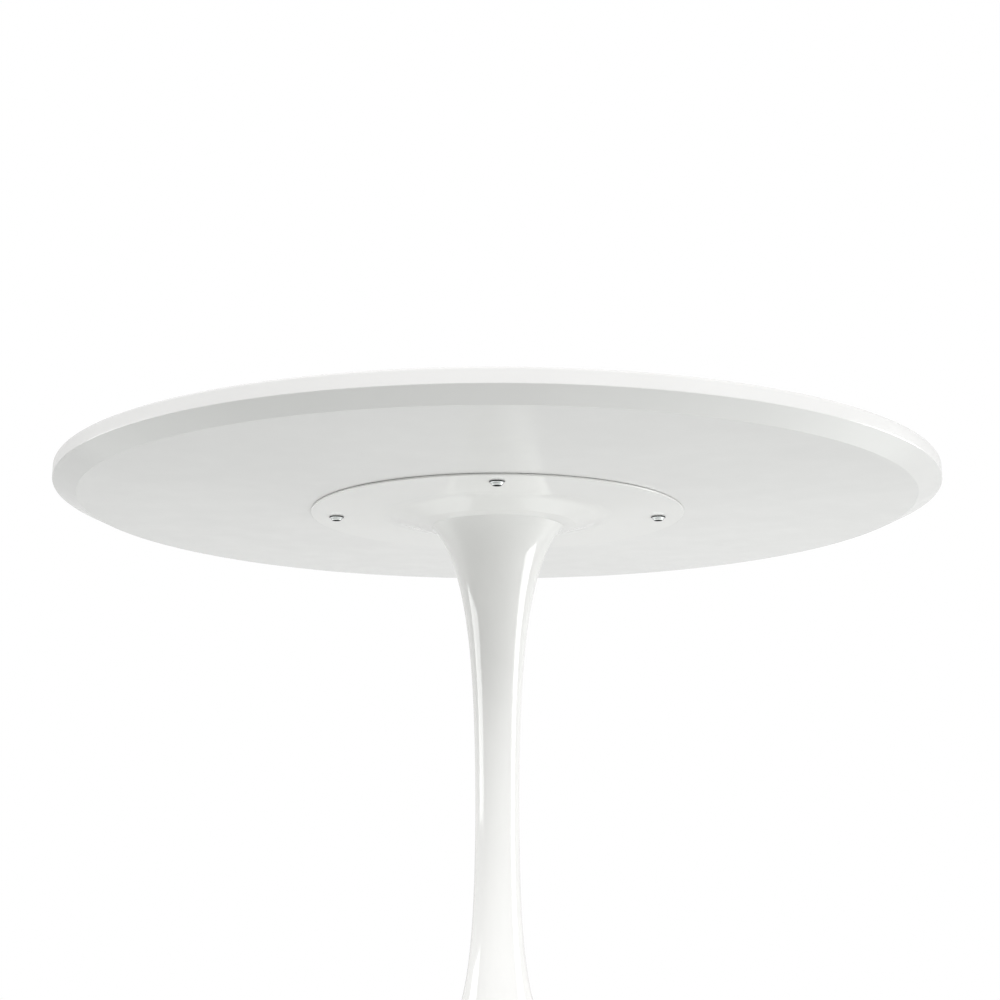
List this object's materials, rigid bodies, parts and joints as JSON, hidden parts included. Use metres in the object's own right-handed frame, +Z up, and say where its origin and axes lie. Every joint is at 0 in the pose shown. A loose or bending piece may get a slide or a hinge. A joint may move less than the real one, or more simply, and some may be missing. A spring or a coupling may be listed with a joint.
{
  "type": "round pedestal table",
  "caption": "Round pedestal table: thin disc top with a bevelled underside on a round mounting plate, trumpet-shaped stem and wide round foot on levelling glides.",
  "frame": {"origin": "on the floor, under the middle of the tabletop, with the glides screwed in", "axes": "+Z up; +X and +Y each run through two of the screws of the mounting plate"},
  "size_m": [1.05, 1.05, 0.75],
  "materials": {
    "white_lacquer": "gloss white lacquer on MDF",
    "white_coat": "gloss white coat on metal",
    "chrome": "polished",
    "zinc_steel": "bright zinc plate",
    "brass": "machined",
    "aluminium": "machined",
    "cast_iron": "as cast, black primer",
    "black_plastic": "fine texture"
  },
  "bodies": {
    "root": {"tabletop": "white_lacquer", "top_insert_1": "brass", "top_insert_2": "brass", "top_insert_3": "brass", "top_insert_4": "brass", "top_plate": "white_coat", "plate_screw_1": "chrome", "plate_screw_2": "chrome", "plate_screw_3": "chrome", "plate_screw_4": "chrome", "column": "white_coat", "foot_shell": "white_coat", "joint_sleeve": "aluminium", "tie_rod": "zinc_steel", "upper_washer": "zinc_steel", "upper_nut": "zinc_steel", "lower_washer": "zinc_steel", "lower_nut": "zinc_steel", "base_weight": "cast_iron", "base_cover": "black_plastic", "cover_screw_1": "zinc_steel", "cover_screw_2": "zinc_steel", "cover_screw_3": "zinc_steel", "cover_screw_4": "zinc_steel", "glide_bush_1": "brass", "glide_bush_2": "brass", "glide_bush_3": "brass", "glide_bush_4": "brass"},
    "glide_pad_1": {"glide_pad_1": "black_plastic"},
    "glide_stud_1": {"glide_stud_1": "zinc_steel"},
    "glide_pad_2": {"glide_pad_2": "black_plastic"},
    "glide_stud_2": {"glide_stud_2": "zinc_steel"},
    "glide_pad_3": {"glide_pad_3": "black_plastic"},
    "glide_stud_3": {"glide_stud_3": "zinc_steel"},
    "glide_pad_4": {"glide_pad_4": "black_plastic"},
    "glide_stud_4": {"glide_stud_4": "zinc_steel"}
  },
  "joints": [
    {"name": "glide_1_lift", "type": "slide", "parent": "root", "child": "glide_pad_1", "axis": [0, 0, -1], "range_m": [0, 0.006]},
    {"name": "glide_1_turn", "type": "hinge", "parent": "glide_pad_1", "child": "glide_stud_1", "pos_m": [0.1591, 0.1591, 0.015], "axis": [0, 0, -1], "range_deg": [0, 1727]},
    {"name": "glide_2_lift", "type": "slide", "parent": "root", "child": "glide_pad_2", "axis": [0, 0, -1], "range_m": [0, 0.006]},
    {"name": "glide_2_turn", "type": "hinge", "parent": "glide_pad_2", "child": "glide_stud_2", "pos_m": [-0.1591, 0.1591, 0.015], "axis": [0, 0, -1], "range_deg": [0, 1727]},
    {"name": "glide_3_lift", "type": "slide", "parent": "root", "child": "glide_pad_3", "axis": [0, 0, -1], "range_m": [0, 0.006]},
    {"name": "glide_3_turn", "type": "hinge", "parent": "glide_pad_3", "child": "glide_stud_3", "pos_m": [-0.1591, -0.1591, 0.015], "axis": [0, 0, -1], "range_deg": [0, 1727]},
    {"name": "glide_4_lift", "type": "slide", "parent": "root", "child": "glide_pad_4", "axis": [0, 0, -1], "range_m": [0, 0.006]},
    {"name": "glide_4_turn", "type": "hinge", "parent": "glide_pad_4", "child": "glide_stud_4", "pos_m": [0.1591, -0.1591, 0.015], "axis": [0, 0, -1], "range_deg": [0, 1727]}
  ],
  "couplings": [
    {"joint": "glide_1_lift", "follows": "glide_1_turn", "m_per_rad": 0.00019894},
    {"joint": "glide_2_lift", "follows": "glide_2_turn", "m_per_rad": 0.00019894},
    {"joint": "glide_3_lift", "follows": "glide_3_turn", "m_per_rad": 0.00019894},
    {"joint": "glide_4_lift", "follows": "glide_4_turn", "m_per_rad": 0.00019894}
  ]
}
